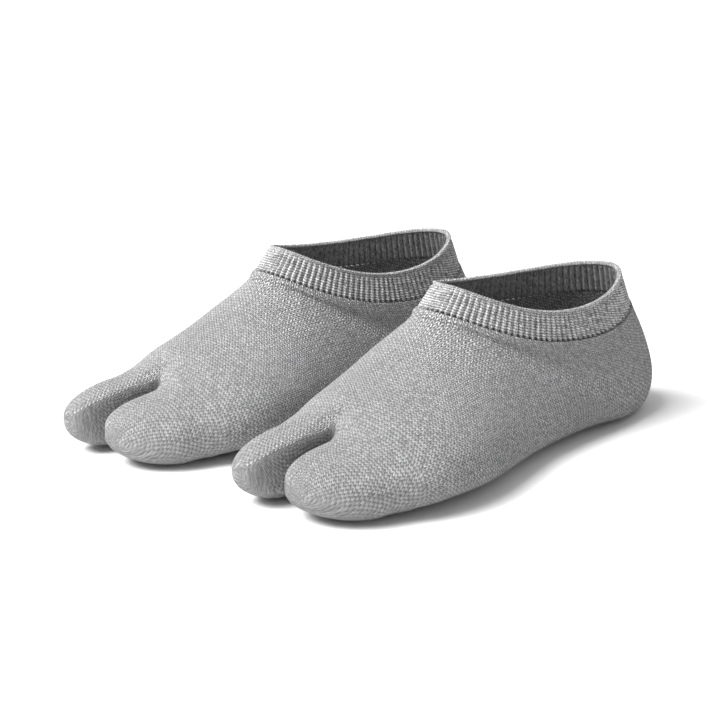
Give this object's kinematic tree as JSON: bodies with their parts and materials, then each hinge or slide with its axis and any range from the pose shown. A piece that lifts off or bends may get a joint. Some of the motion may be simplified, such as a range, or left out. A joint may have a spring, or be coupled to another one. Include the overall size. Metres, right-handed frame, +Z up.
{
  "type": "pair of tabi socks",
  "caption": "Low-cut split-toe socks in plain knit with a ribbed cuff, filled out with no wearer and standing side by side.",
  "frame": {"origin": "on the surface that the soles stand on, under the middle of the pair's box", "axes": "+Z up, toes towards -Y, near sock on the +X side of the far sock, four-toe pockets towards +X"},
  "size_m": [0.1976, 0.2452, 0.0755],
  "materials": {
    "plain_knit": "fine heather grey cotton jersey knit, matt with a soft nap",
    "ribbed_knit": "heather grey cotton rib knit with a rolled rim"
  },
  "bodies": {
    "root": {"near_foot": "plain_knit", "near_cuff": "ribbed_knit", "far_foot": "plain_knit", "far_cuff": "ribbed_knit"}
  },
  "joints": []
}
